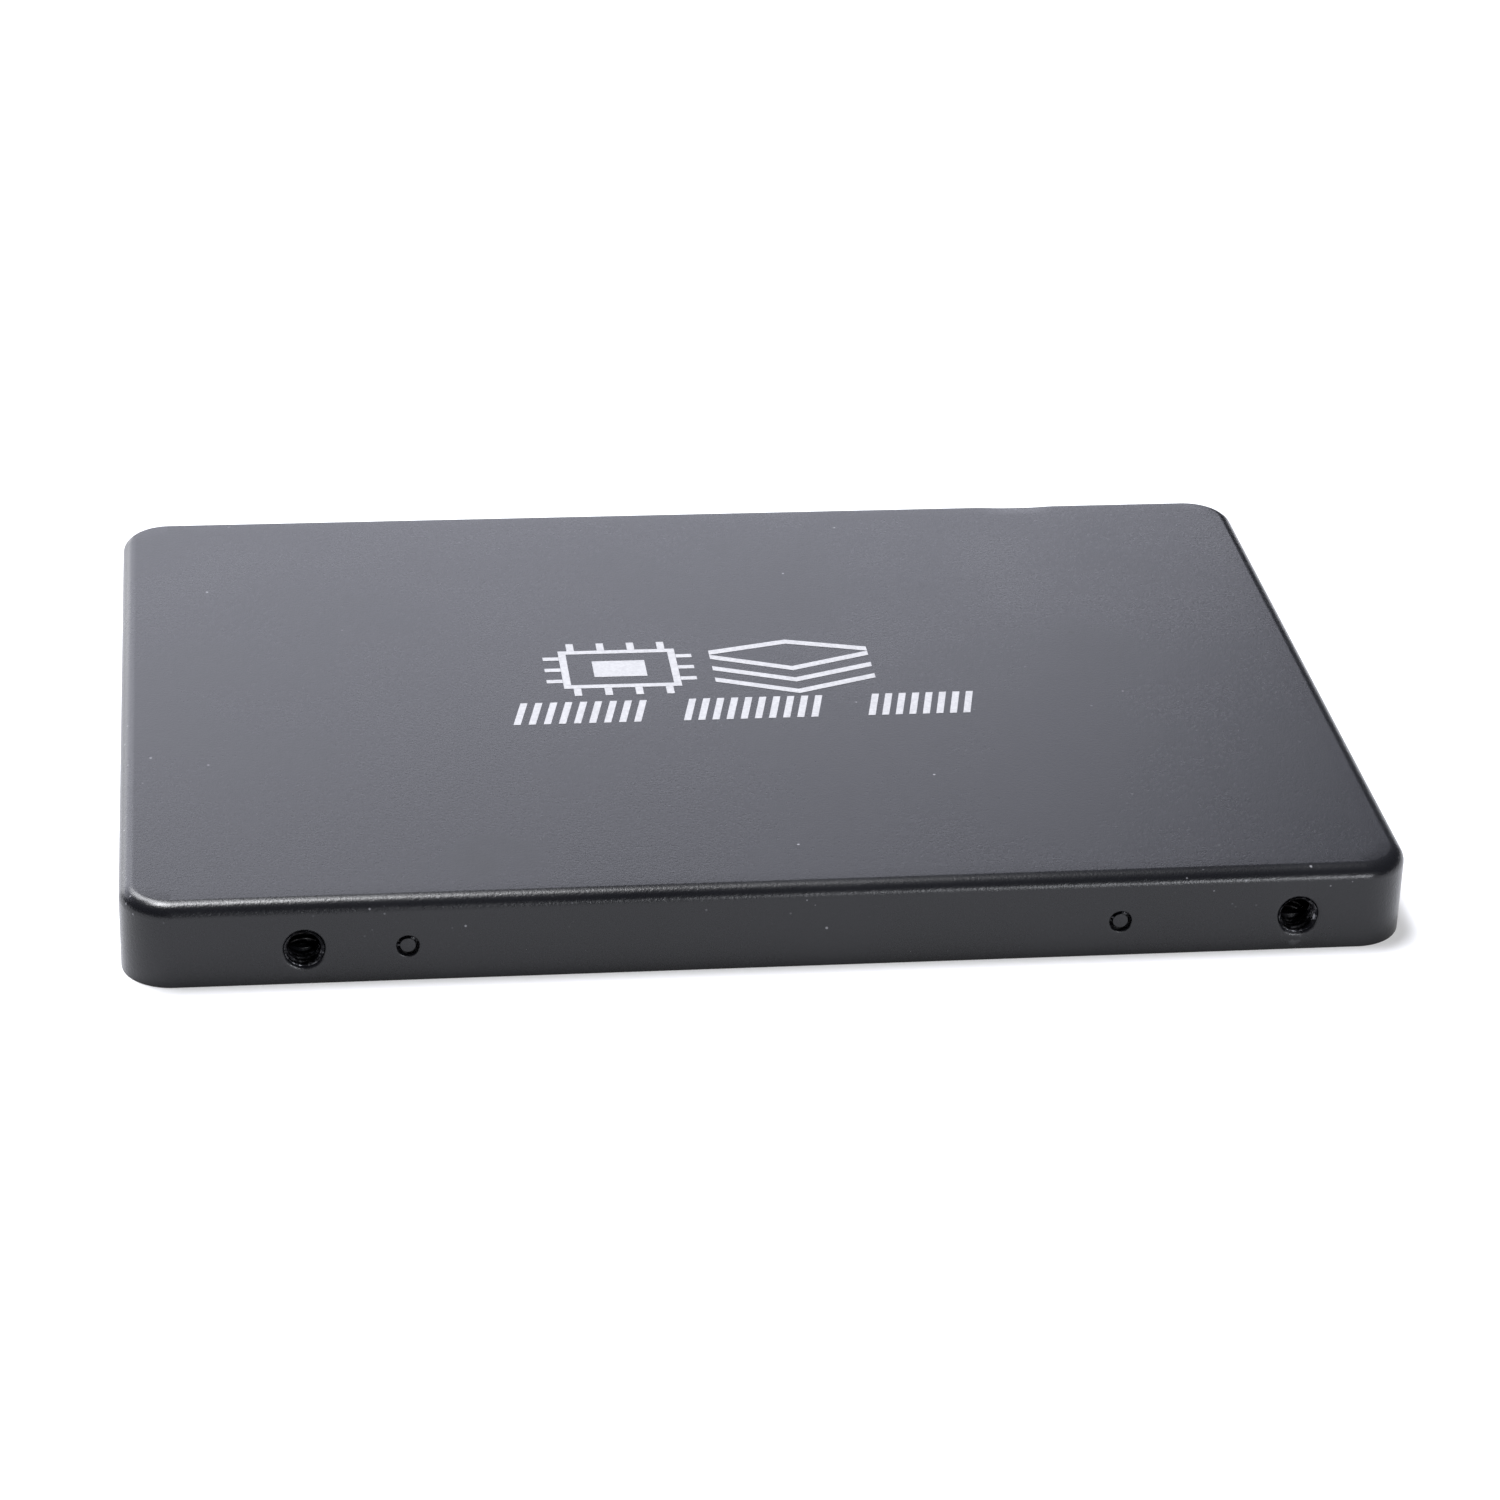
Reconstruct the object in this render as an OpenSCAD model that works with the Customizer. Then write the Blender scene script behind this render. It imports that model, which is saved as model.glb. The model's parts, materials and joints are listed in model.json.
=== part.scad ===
// Solid state drive in a 2.5 inch case, 7 mm high.
// X runs along the length, with the connector at the low end. Y runs across the width.
// Z points out of the top cover. The origin is the middle of the bottom face.

/* [Case] */
// Length from the connector end to the closed end
case_length = 99.4; // [99:0.1:100.4]
// Width across the long sides
case_width = 69.85; // [69.8:0.05:70.1]
// Height from the bottom face to the top face
case_height = 7; // [6.9:0.05:7.2]
// Radius of the upright corners
corner_radius = 4; // [3:0.1:6]
// Radius of the rounded rim around the top face
rim_radius = 1.2; // [1.1:0.1:1.6]
// Sheet thickness of both covers
sheet = 0.8; // [0.75:0.05:0.8]

/* [Mounting holes] */
// Distance from the connector end to the first holes
first_hole = 13.8; // [13.7:0.1:14.3]
// Distance between the two holes of each row
hole_spacing = 76.6; // [76.4:0.1:76.8]
// Distance between the two rows of bottom holes
bottom_row_spacing = 61.72; // [61.4:0.02:61.8]
// Height of the side holes above the bottom face
side_hole_height = 3; // [2.9:0.05:3.1]
// Major radius of the M3 thread
thread_radius = 1.5; // [1.4:0.05:1.55]
// Depth of each threaded collar from the outer face
collar_depth = 1.9; // [1.7:0.1:2]
// Wall of each threaded collar around the thread
collar_wall = 0.5; // [0.4:0.05:0.5]
// Width of the chamfer at the mouth of each hole
mouth_chamfer = 0.2; // [0.1:0.05:0.3]

/* [Snap pins] */
// Distance from the first holes to the first pins
first_pin = 7.8; // [7.5:0.1:8.5]
// Distance between the two pins of each long side
pin_spacing = 54.8; // [54:0.1:55.5]
// Radius of each pin
pin_radius = 0.6; // [0.5:0.05:0.7]
// Gap around each pin in its window
pin_gap = 0.25; // [0.2:0.05:0.3]
// Width of the upturned tab that carries each pin
tab_width = 7; // [5:0.5:7]
// Thickness of the tab
tab_sheet = 0.6; // [0.5:0.05:0.6]

/* [Circuit board] */
// Length of the board
board_length = 60; // [58:1:62]
// Width of the board
board_width = 66; // [65:0.5:66]
// Thickness of the board
board_thickness = 1; // [0.9:0.1:1]
// Height of the underside of the board above the bottom face
board_height = 2.2; // [2.2:0.05:2.3]
// Distance from the connector end of the case to the board
board_setback = 8.3; // [8.2:0.1:8.5]

/* [Connector] */
// Sideways offset of the connector from the middle of the case
connector_offset = 4.8; // [4.6:0.1:5]
// Width of the connector housing
connector_width = 42; // [41:0.5:42]
// Height of the middle of the tongues above the bottom face
tongue_height = 3.5; // [3.4:0.05:3.6]
// Thickness of the tongues
tongue_thickness = 1.23; // [1.2:0.01:1.26]
// Distance from the connector end of the case to the tips of the tongues
tongue_setback = 0.5; // [0.3:0.1:0.8]
// Distance between neighbouring contacts
contact_pitch = 1.27; // [1.27]
// Width of one contact
contact_width = 0.72; // [0.6:0.02:0.8]

/* [Memory] */
// Length of each memory chip
memory_length = 18; // [16:1:18]
// Width of each memory chip
memory_width = 14; // [12:1:14]

/* [Hidden] */
$fn = 64;

eps = 0.01;
end_x = -case_length / 2;
side_y = case_width / 2;
inner_top = case_height - sheet;

hole_xs = [end_x + first_hole, end_x + first_hole + hole_spacing];
pin_xs = [hole_xs[0] + first_pin, hole_xs[0] + first_pin + pin_spacing];
collar_radius = thread_radius + collar_wall;
bottom_collar_height = 2;

// Plate of the bottom cover, which drops in between the walls of the top cover
plate_gap = 0.1;
plate_length = case_length - 2 * (sheet + plate_gap);
plate_width = case_width - 2 * (sheet + plate_gap);
tab_height = 4.6;
pin_recess = 0.12;
relief = 0.8;
relief_depth = 1.2;

label_size = [62, 44];
label_thickness = 0.1;
label_pocket = 0.12;
label_radius = 1.5;
label_gap = 0.3;
film_thickness = 0.1;
film_gap = 0.5;
film_start = 4;
film_margin = 2;

board_x = end_x + board_setback;
board_end = board_x + board_length;
board_top = board_height + board_thickness;
board_notch = 5.2;
board_screw_xs = [board_x + 19.5, board_end - 3.5];
board_screw_y = board_width / 2 - 3.5;
standoff_radius = 2.2;
standoff_shank = 1.6;
board_screw_radius = 0.95;
board_screw_head = 1.8;
board_screw_head_height = 1.1;
board_screw_end = 0.8;
standoff_floor = 0.5;
screw_slot = [1.8, 0.35, 1];
screw_slot_depth = 0.6;
screw_hole_gap = 0.15;

// Connector: data tongue on the far side of the key gap, power tongue on the near side
connector_y = -connector_offset;
tongue_bottom = tongue_height - tongue_thickness / 2;
tongue_top = tongue_height + tongue_thickness / 2;
tongue_x = end_x + tongue_setback;
data_tongue = 10.41;
key_gap = 2.4;
power_tongue = 20.63;
tongue_span = data_tongue + key_gap + power_tongue;
tongue_start = connector_y + tongue_span / 2;
leg_height = 2.4;
leg_thickness = 1.15;
first_signal = 0.84;
first_power = 14.81;
signal_count = 7;
power_count = 15;
base_x = end_x + 5.5;
base_end = end_x + 8;
base_bottom = 1.9;
base_top = 5.3;
arm_thickness = 1.5;
arm_bottom = 1.9;
arm_top = 5.1;
arm_lead_in = 0.6;
ear_width = 3;
ear_end = end_x + 11.5;
ear_top = 5;
opening_gap = 0.4;
opening_width = connector_width + 2 * opening_gap;
opening_start = connector_y - opening_width / 2;
window_top = case_height - rim_radius;
notch_end = base_x - 0.6;
tongue_tip = 0.3;
long_lead = 0.5;
short_lead = 1;
contact_thickness = 0.2;
contact_proud = 0.05;
contact_top = tongue_top + contact_proud;
contact_drop_x = base_end + 0.25;
contact_tail = 1.8;
lock_radius = 0.7;
lock_x = end_x + 10;
lock_gap = 0.05;
lock_proud = 0.4;
lock_peg_height = 1.2;

// Chips sit on solder balls
ball_height = 0.2;
ball_radius = 0.22;
chip_height = 1;
ball_margin = 2.4;
substrate_thickness = 0.3;
substrate_margin = 0.6;
dimple_radius = 0.5;
dimple_inset = 1.5;
dimple_depth = 0.1;
dimple_bottom = ball_height + chip_height - dimple_depth;
pad_margin = 1.6;
chip_top = board_top + ball_height + chip_height;
pad_height = inner_top - chip_top;
controller_at = [board_x + 25.5, -7];
controller_size = [14, 14];
cache_at = [board_x + 25.5, 13];
cache_size = [8, 13];
memory_x = board_end - 13.5;
memory_y = 13.5;
crystal_at = [board_x + 13.5, -9];
boot_memory_at = [board_x + 26, -23];
boot_memory_size = [3.9, 4.9, 1.4];
boot_dimple_at = [-1.2, -1.7];
boot_dimple_radius = 0.4;
crystal_size = [3.2, 2.5, 0.5];
crystal_lid_size = [2.8, 2.1, 0.25];
lead_thickness = 0.15;
body_lift = 0.1;

// Small parts on the board, each placed by its middle
inductor_ats = [for (i = [0:2]) [board_x + 12, 10 + 6 * i]];
regulator_ats = [for (i = [0:2]) [board_x + 17.5, 10 + 6 * i]];
fuse_at = [board_x + 8, -17];
suppressor_at = [board_x + 14, -17];
tantalum_ats = [for (i = [0:2]) [board_x + 14.5, -21.5 - 3.6 * i]];
led_at = [board_x + 7, 24];
inductor_size = [4, 4, 1.9];
inductor_terminal = [1.2, 3.4, 0.1];
inductor_groove = [1.3, 1.5];
regulator_size = [1.6, 2.9, 1];
fuse_size = [3.2, 1.6, 0.7];
suppressor_size = [4.3, 2.6, 1.6];
suppressor_base = [5, 1.4, 0.2];
tantalum_size = [6, 2.8, 1.5];
tantalum_base = [6.4, 2.2, 0.1];
led_base = [1.6, 0.8, 0.3];
led_lens = [1, 0.7, 0.3];
terminal_share = 0.24;

// Rows of chip capacitors and resistors: start, step, count and size of each row
capacitor_rows = [
    [[board_x + 18.5, 1.5], [1.8, 0], 8, [1, 0.5, 0.5]],
    [[board_x + 18.5, -15.7], [1.8, 0], 8, [1, 0.5, 0.5]],
    [[board_end - 25, -22], [0, 2.2], 21, [1.6, 0.8, 0.8]],
    [[board_end - 2.2, -22], [0, 2.2], 21, [1, 0.5, 0.5]],
    [[board_x + 8, 9], [0, 2.6], 5, [2, 1.25, 1]]
];
resistor_rows = [
    [[board_x + 16.7, -13.3], [0, 1.5], 4, [1, 0.5, 0.35]],
    [[board_end - 12, 0], [1.6, 0], 6, [1, 0.5, 0.35]],
    [[board_x + 5, -2.9], [0, 1.27], 8, [1, 0.5, 0.35]]
];

// ---- shared shapes ----

// Half section of a slab with a rounded top edge, from the corner's axis outwards
module rim_profile(reach, height, fillet) {
    square([reach, height - fillet]);
    square([reach - fillet, height]);
    translate([reach - fillet, height - fillet])
        intersection() {
            circle(r = fillet);
            square(fillet);
        }
}

// Slab with round upright corners and a rounded top rim
module rounded_slab(length, width, height, radius, fillet) {
    straight_x = length / 2 - radius;
    straight_y = width / 2 - radius;
    translate([-straight_x, -straight_y, 0])
        cube([2 * straight_x, 2 * straight_y, height]);
    for (side = [0, 1])
        mirror([0, side, 0])
            translate([-straight_x, straight_y, 0])
                rotate([90, 0, 90])
                    linear_extrude(2 * straight_x)
                        rim_profile(radius, height, fillet);
    for (side = [0, 1])
        mirror([side, 0, 0])
            translate([straight_x, straight_y, 0])
                rotate([90, 0, 0])
                    linear_extrude(2 * straight_y)
                        rim_profile(radius, height, fillet);
    for (flip_x = [0, 1], flip_y = [0, 1])
        mirror([flip_x, 0, 0])
            mirror([0, flip_y, 0])
                translate([straight_x, straight_y, 0])
                    rotate_extrude(angle = 90)
                        rim_profile(radius, height, fillet);
}

// Flat rectangle with round corners, centred
module rounded_rectangle(size, radius) {
    square([size.x - 2 * radius, size.y], center = true);
    square([size.x, size.y - 2 * radius], center = true);
    for (sx = [-1, 1], sy = [-1, 1])
        translate([sx * (size.x / 2 - radius), sy * (size.y / 2 - radius)])
            circle(r = radius);
}

// Block centred in X and Y that stands on the height z
module block(size, z = 0) {
    translate([-size.x / 2, -size.y / 2, z])
        cube(size);
}

// Puts the children at both long sides, pointing out of the case
module both_sides(xs, z) {
    for (x = xs, side = [0, 1])
        mirror([0, side, 0])
            translate([x, side_y, z])
                rotate([-90, 0, 0])
                    children();
}

// Puts the children at the four bottom holes
module bottom_holes() {
    for (x = hole_xs, sy = [-1, 1])
        translate([x, sy * bottom_row_spacing / 2, 0])
            children();
}

// Thread bore that opens at height zero and runs down, with a chamfered mouth
module thread_bore(depth) {
    translate([0, 0, -depth])
        cylinder(r = thread_radius, h = depth + 1);
    translate([0, 0, -mouth_chamfer])
        cylinder(r1 = thread_radius, r2 = thread_radius + mouth_chamfer, h = mouth_chamfer);
    cylinder(r = thread_radius + mouth_chamfer, h = 1);
}

// Places of the four board screws
module board_screw_places() {
    for (x = board_screw_xs, sy = [-1, 1])
        translate([x, sy * board_screw_y, 0])
            children();
}

// ---- case ----

module top_cover() {
    color([0.17, 0.17, 0.18])
        difference() {
            union() {
                difference() {
                    rounded_slab(case_length, case_width, case_height, corner_radius, rim_radius);
                    translate([0, 0, -1])
                        rounded_slab(
                            case_length - 2 * sheet, case_width - 2 * sheet, inner_top + 1,
                            corner_radius - sheet, rim_radius - sheet
                        );
                }
                both_sides(hole_xs, side_hole_height)
                    translate([0, 0, -collar_depth])
                        cylinder(r = collar_radius, h = collar_depth - sheet / 2);
            }
            both_sides(hole_xs, side_hole_height)
                thread_bore(collar_depth + 1);
            both_sides(pin_xs, side_hole_height)
                translate([0, 0, -sheet - 1])
                    cylinder(r = pin_radius + pin_gap, h = sheet + 2);
            connector_window();
        }
}

// Opening in the end wall, a little wider than the connector
module connector_window() {
    translate([end_x - 1, opening_start, -1])
        cube([sheet + 1 + opening_gap, opening_width, window_top + 1]);
}

module bottom_cover() {
    color([0.17, 0.17, 0.18])
        difference() {
            union() {
                linear_extrude(sheet)
                    rounded_rectangle([plate_length, plate_width], corner_radius - sheet - plate_gap);
                bottom_holes()
                    cylinder(r = collar_radius, h = bottom_collar_height);
                both_sides(pin_xs, 0)
                    snap_tab();
            }
            bottom_holes()
                mirror([0, 0, 1])
                    thread_bore(bottom_collar_height + 1);
            both_sides(pin_xs, side_hole_height)
                translate([0, 0, -sheet - plate_gap - tab_sheet - 1])
                    cylinder(r = pin_radius, h = 1 + tab_sheet / 2);
            both_sides(pin_xs, 0)
                tab_reliefs();
            connector_notch();
            board_screw_places()
                translate([0, 0, -1])
                    cylinder(r = standoff_shank, h = sheet + 2);
            translate([0, 0, -1])
                linear_extrude(label_pocket + 1)
                    rounded_rectangle(label_size + 2 * [label_gap, label_gap], label_radius + label_gap);
        }
}

// Upturned tab with its half-sheared pin, drawn with the case's side face at height zero
module snap_tab() {
    tab_face = -sheet - plate_gap;
    translate([-tab_width / 2, -tab_height + 1, tab_face - tab_sheet])
        cube([tab_width, tab_height - 1, tab_sheet]);
    translate([-tab_width / 2 + 1, -tab_height, tab_face - tab_sheet])
        cube([tab_width - 2, 1 + eps, tab_sheet]);
    for (sx = [-1, 1])
        translate([sx * (tab_width / 2 - 1), -tab_height + 1, tab_face - tab_sheet])
            cylinder(r = 1, h = tab_sheet);
    translate([0, -side_hole_height, tab_face - eps])
        cylinder(r = pin_radius, h = -tab_face + eps - pin_recess);
}

// Small slots at both ends of each tab that let the sheet bend
module tab_reliefs() {
    for (sx = [-1, 1])
        translate([sx * (tab_width + relief) / 2 - relief / 2, -sheet - 1, -sheet - plate_gap - relief_depth])
            cube([relief, sheet + 2, relief_depth + 1]);
}

// Clearance in the plate under the connector
module connector_notch() {
    translate([end_x - 1, opening_start, -1])
        cube([notch_end - end_x + 1, opening_width, sheet + 2]);
}

module bottom_label() {
    color([0.86, 0.87, 0.88])
        translate([0, 0, label_pocket - label_thickness])
            linear_extrude(label_thickness)
                rounded_rectangle(label_size, label_radius);
}

module insulator_film() {
    film_width = 2 * (board_screw_y - standoff_radius - film_gap);
    film_length = board_end - base_end - film_start - film_margin;
    color([0.75, 0.68, 0.42])
        translate([base_end + film_start, -film_width / 2, sheet])
            cube([film_length, film_width, film_thickness]);
}

// ---- circuit board and its fasteners ----

module circuit_board() {
    color([0.05, 0.2, 0.13])
        difference() {
            translate([board_x, -board_width / 2, board_height])
                cube([board_length, board_width, board_thickness]);
            for (sy = [-1, 1])
                translate([hole_xs[0], sy * board_width / 2, board_height + board_thickness / 2])
                    cube([board_notch, board_notch * 2 - 1, board_thickness + 1], center = true);
            board_screw_places()
                translate([0, 0, board_height - 1])
                    cylinder(r = board_screw_radius + screw_hole_gap, h = board_thickness + 2);
            lock_places()
                translate([0, 0, board_height - 1])
                    cylinder(r = lock_radius + lock_gap, h = board_thickness + 2);
        }
}

module board_standoffs() {
    color([0.75, 0.72, 0.6])
        board_screw_places()
            difference() {
                union() {
                    translate([0, 0, label_pocket])
                        cylinder(r = standoff_shank, h = sheet - label_pocket);
                    translate([0, 0, sheet])
                        cylinder(r = standoff_radius, h = board_height - sheet);
                }
                translate([0, 0, standoff_floor])
                    cylinder(r = board_screw_radius, h = board_height);
            }
}

module board_screws() {
    shank_length = board_top - board_screw_end;
    collar_height = board_screw_head_height * 0.55;
    dome_height = board_screw_head_height - collar_height;
    color([0.7, 0.7, 0.72])
        board_screw_places()
            difference() {
                union() {
                    translate([0, 0, board_top - shank_length])
                        cylinder(r = board_screw_radius, h = shank_length);
                    translate([0, 0, board_top])
                        cylinder(r = board_screw_head, h = collar_height);
                    translate([0, 0, board_top + collar_height])
                        cylinder(r1 = board_screw_head, r2 = board_screw_head * 0.7, h = dome_height);
                }
                for (turn = [0, 90])
                    rotate(turn)
                        block(screw_slot, board_top + board_screw_head_height - screw_slot_depth);
            }
}

// ---- connector ----

module lock_places() {
    for (sy = [-1, 1])
        translate([lock_x, connector_y + sy * (connector_width - ear_width) / 2, 0])
            children();
}

// Tongue of one connector half: its section along the plugging direction, swept across
module tongue(start, width) {
    translate([0, start, 0])
        rotate([90, 0, 0])
            linear_extrude(width)
                polygon([
                    [tongue_x, tongue_bottom + tongue_tip],
                    [tongue_x + tongue_tip, tongue_bottom],
                    [base_x + eps, tongue_bottom],
                    [base_x + eps, tongue_top],
                    [tongue_x + tongue_tip, tongue_top],
                    [tongue_x, tongue_top - tongue_tip]
                ]);
}

// Leg of the L-shaped key beside the gap
module key_leg(start) {
    translate([tongue_x, start - leg_thickness, tongue_bottom])
        cube([base_x - tongue_x + eps, leg_thickness, leg_height]);
}

module sata_housing() {
    color([0.08, 0.08, 0.09])
        difference() {
            union() {
                translate([base_x, connector_y - connector_width / 2, base_bottom])
                    cube([base_end - base_x, connector_width, base_top - base_bottom]);
                tongue(tongue_start, data_tongue);
                tongue(tongue_start - data_tongue - key_gap, power_tongue);
                key_leg(tongue_start - data_tongue + leg_thickness);
                key_leg(tongue_start - data_tongue - key_gap);
                for (side = [-1, 1])
                    guide_arm(side);
                for (side = [-1, 1])
                    translate([
                        base_end - eps,
                        connector_y + side * (connector_width - ear_width) / 2 - ear_width / 2,
                        board_top
                    ])
                        cube([ear_end - base_end, ear_width, ear_top - board_top]);
            }
            contacts(signal_count, first_signal);
            contacts(power_count, first_power);
            sata_board_locks();
        }
}

// Arm at one end of the connector that guides the plug in, with a slanted tip
module guide_arm(side) {
    outer = connector_width / 2;
    inner = outer - arm_thickness;
    translate([0, connector_y, arm_bottom])
        linear_extrude(arm_top - arm_bottom)
            polygon([
                [base_x + eps, side * inner],
                [tongue_x + arm_lead_in, side * inner],
                [tongue_x, side * (inner + arm_lead_in)],
                [tongue_x, side * outer],
                [base_x + eps, side * outer]
            ]);
}

// One contact: a flat blade on the tongue, a drop behind the base and a solder tail
module contact(lead) {
    blade_x = tongue_x + lead;
    rotate([90, 0, 0])
        linear_extrude(contact_width, center = true) {
            translate([blade_x, contact_top - contact_thickness])
                square([contact_drop_x - blade_x, contact_thickness]);
            translate([contact_drop_x - contact_thickness, board_top])
                square([contact_thickness, contact_top - board_top]);
            translate([contact_drop_x - contact_thickness, board_top])
                square([contact_tail, contact_thickness]);
        }
}

// True for the contacts that meet first: the grounds and the pre-charge contacts
function is_long(count, i) =
    count == signal_count ? i % 3 == 0 : i == 3 || i == 11;

module contacts(count, first) {
    for (i = [0 : count - 1])
        translate([0, tongue_start - first - i * contact_pitch, 0])
            contact(is_long(count, i) ? long_lead : short_lead);
}

module sata_signal_contacts() {
    color([0.9, 0.72, 0.3])
        contacts(signal_count, first_signal);
}

module sata_power_contacts() {
    color([0.9, 0.72, 0.3])
        contacts(power_count, first_power);
}

module sata_board_locks() {
    color([0.8, 0.8, 0.8])
        lock_places() {
            translate([0, 0, board_height - lock_proud])
                cylinder(r = lock_radius, h = board_thickness + lock_proud);
            translate([0, 0, board_top])
                cylinder(r = lock_radius * 0.7, h = lock_peg_height);
        }
}

// ---- chips ----

// Ball-grid chip: solder balls, substrate and moulded body with a pin-one dimple
module ball_grid_chip(size, balls) {
    pitch = [(size.x - ball_margin) / (balls.x - 1), (size.y - ball_margin) / (balls.y - 1)];
    body = [size.x - substrate_margin, size.y - substrate_margin, chip_height - substrate_thickness];
    for (i = [0 : balls.x - 1], j = [0 : balls.y - 1])
        translate([(i - (balls.x - 1) / 2) * pitch.x, (j - (balls.y - 1) / 2) * pitch.y, 0])
            cylinder(r = ball_radius, h = ball_height + eps, $fn = 24);
    difference() {
        union() {
            block([size.x, size.y, substrate_thickness], ball_height);
            block(body, ball_height + substrate_thickness);
        }
        translate([dimple_inset - size.x / 2, dimple_inset - size.y / 2, dimple_bottom])
            cylinder(r = dimple_radius, h = 1);
    }
}

module controller_chip() {
    color([0.12, 0.12, 0.12])
        translate([controller_at.x, controller_at.y, board_top])
            ball_grid_chip(controller_size, [8, 8]);
}

// Memory chips 1 and 2 are on top of the board, 3 and 4 are underneath
module memory_chip(number) {
    below = number > 2;
    side = number % 2 == 1 ? -1 : 1;
    color([0.1, 0.1, 0.11])
        translate([memory_x, side * memory_y, below ? board_height : board_top])
            mirror([0, 0, below ? 1 : 0])
                ball_grid_chip([memory_length, memory_width], [8, 6]);
}

module cache_chip() {
    color([0.1, 0.1, 0.11])
        translate([cache_at.x, cache_at.y, board_top])
            ball_grid_chip(cache_size, [4, 6]);
}

module controller_thermal_pad() {
    color([0.55, 0.68, 0.78])
        translate([controller_at.x, controller_at.y, 0])
            block([controller_size.x - pad_margin, controller_size.y - pad_margin, pad_height], chip_top);
}

module memory_thermal_pads() {
    color([0.55, 0.68, 0.78])
        for (side = [-1, 1])
            translate([memory_x, side * memory_y, 0])
                block([memory_length - pad_margin, memory_width - pad_margin, pad_height], chip_top);
}

// Bent lead that comes out of a moulded body and stands on the board
module gull_lead(exit_height, reach, width) {
    bend = reach / 2;
    rotate([90, 0, 0])
        linear_extrude(width, center = true) {
            translate([0, exit_height])
                square([bend, lead_thickness]);
            translate([bend - lead_thickness, 0])
                square([lead_thickness, exit_height + lead_thickness]);
            translate([bend - lead_thickness, 0])
                square([bend + lead_thickness, lead_thickness]);
        }
}

// Two rows of bent leads, one on each side of a body
module lead_rows(body_width, count, pitch, exit_height, reach, width) {
    for (turn = [0, 180])
        rotate(turn)
            for (i = [0 : count - 1])
                translate([body_width / 2, (i - (count - 1) / 2) * pitch, 0])
                    gull_lead(exit_height, reach, width);
}

module boot_memory() {
    color([0.12, 0.12, 0.12])
        translate([boot_memory_at.x, boot_memory_at.y, board_top])
            difference() {
                block(boot_memory_size, body_lift);
                translate([boot_dimple_at.x, boot_dimple_at.y, boot_memory_size.z])
                    cylinder(r = boot_dimple_radius, h = 1);
            }
}

module boot_memory_leads() {
    color([0.8, 0.8, 0.8])
        translate([boot_memory_at.x, boot_memory_at.y, board_top])
            lead_rows(
                boot_memory_size.x, count = 4, pitch = 1.27, exit_height = 0.6, reach = 1, width = 0.42
            );
}

module clock_crystal() {
    color([0.85, 0.8, 0.68])
        translate([crystal_at.x, crystal_at.y, board_top])
            block(crystal_size);
}

module crystal_lid() {
    color([0.78, 0.78, 0.74])
        translate([crystal_at.x, crystal_at.y, board_top])
            block(crystal_lid_size, crystal_size.z);
}

// ---- power parts ----

module power_inductors() {
    color([0.25, 0.25, 0.26])
        for (at = inductor_ats)
            translate([at.x, at.y, board_top])
                difference() {
                    block(inductor_size, body_lift);
                    translate([0, 0, inductor_size.z])
                        difference() {
                            cylinder(r = inductor_groove[1], h = 1);
                            translate([0, 0, -1])
                                cylinder(r = inductor_groove[0], h = 3);
                        }
                }
}

module inductor_terminals() {
    color([0.8, 0.8, 0.78])
        for (at = inductor_ats, side = [-1, 1])
            translate([at.x + side * (inductor_size.x - inductor_terminal.x) / 2, at.y, board_top])
                block(inductor_terminal);
}

module voltage_regulators() {
    color([0.12, 0.12, 0.12])
        for (at = regulator_ats)
            translate([at.x, at.y, board_top])
                block(regulator_size, body_lift);
}

module regulator_leads() {
    color([0.8, 0.8, 0.8])
        for (at = regulator_ats)
            translate([at.x, at.y, board_top])
                lead_rows(
                    regulator_size.x, count = 3, pitch = 0.95, exit_height = 0.45, reach = 0.6, width = 0.35
                );
}

module input_fuse() {
    color([0.82, 0.82, 0.76])
        translate([fuse_at.x, fuse_at.y, board_top])
            block(fuse_size);
}

module surge_suppressor() {
    color([0.14, 0.14, 0.14])
        translate([suppressor_at.x, suppressor_at.y, board_top]) {
            block(suppressor_size, suppressor_base.z);
            block(suppressor_base + [0, 0, eps]);
        }
}

module tantalum_capacitors() {
    color([0.85, 0.6, 0.2])
        for (at = tantalum_ats)
            translate([at.x, at.y, board_top]) {
                block(tantalum_size, tantalum_base.z);
                block(tantalum_base + [0, 0, eps]);
            }
}

// ---- chip capacitors, resistors and lamp ----

// Puts the children at every place of one row
module row_places(row) {
    for (i = [0 : row[2] - 1])
        translate([row[0].x + i * row[1].x, row[0].y + i * row[1].y, board_top])
            children();
}

// Ceramic middle of a chip part
module chip_body(size) {
    block([size.x * (1 - 2 * terminal_share), size.y, size.z]);
}

// Plated ends of a chip part
module chip_ends(size) {
    for (side = [-1, 1])
        translate([side * size.x * (1 - terminal_share) / 2, 0, 0])
            block([size.x * terminal_share, size.y, size.z]);
}

module ceramic_capacitors() {
    color([0.7, 0.56, 0.4])
        for (row = capacitor_rows)
            row_places(row)
                chip_body(row[3]);
}

module capacitor_terminals() {
    color([0.82, 0.82, 0.82])
        for (row = capacitor_rows)
            row_places(row)
                chip_ends(row[3]);
}

module chip_resistors() {
    color([0.1, 0.1, 0.1])
        for (row = resistor_rows)
            row_places(row)
                chip_body(row[3]);
}

module resistor_terminals() {
    color([0.82, 0.82, 0.82])
        for (row = resistor_rows)
            row_places(row)
                chip_ends(row[3]);
}

module activity_led() {
    color([0.6, 0.9, 0.6])
        translate([led_at.x, led_at.y, board_top]) {
            block(led_base);
            block(led_lens, led_base.z);
        }
}

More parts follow.
